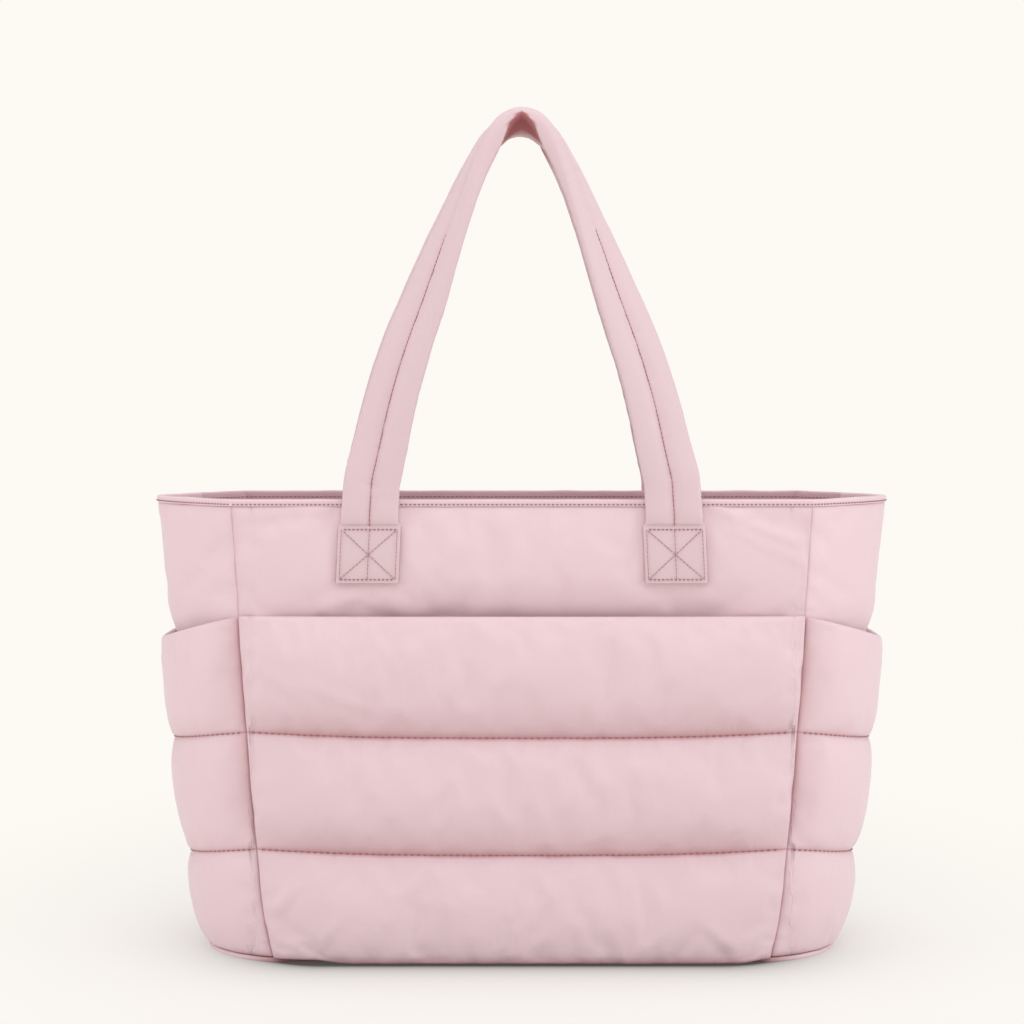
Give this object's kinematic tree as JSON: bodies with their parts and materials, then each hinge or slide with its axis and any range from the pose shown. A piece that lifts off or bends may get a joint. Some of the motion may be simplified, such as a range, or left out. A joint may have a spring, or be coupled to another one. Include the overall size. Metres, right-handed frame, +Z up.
{
  "type": "puffer tote bag",
  "caption": "Padded nylon tote with bowed gussets, quilted open pockets at front and sides, a bound rim and two twisted straps.",
  "frame": {"origin": "middle of the base's underside, on the surface the bag stands on", "axes": "+X to the bag's right seen from the front, +Y towards the back, +Z up"},
  "size_m": [0.487, 0.1735, 0.5573],
  "materials": {
    "front_panel": "soft satin nylon",
    "back_panel": "soft satin nylon",
    "left_gusset": "soft satin nylon",
    "right_gusset": "soft satin nylon",
    "base_panel": "soft satin nylon",
    "rim_band": "soft satin nylon",
    "front_pocket": "soft satin nylon",
    "left_side_pocket": "soft satin nylon",
    "right_side_pocket": "soft satin nylon",
    "front_handle": "soft satin nylon",
    "back_handle": "soft satin nylon"
  },
  "bodies": {
    "root": {"front_panel": "front_panel", "back_panel": "back_panel", "left_gusset": "left_gusset", "right_gusset": "right_gusset", "base_panel": "base_panel", "rim_band": "rim_band", "front_pocket": "front_pocket", "left_side_pocket": "left_side_pocket", "right_side_pocket": "right_side_pocket", "front_handle": "front_handle", "back_handle": "back_handle"}
  },
  "joints": []
}
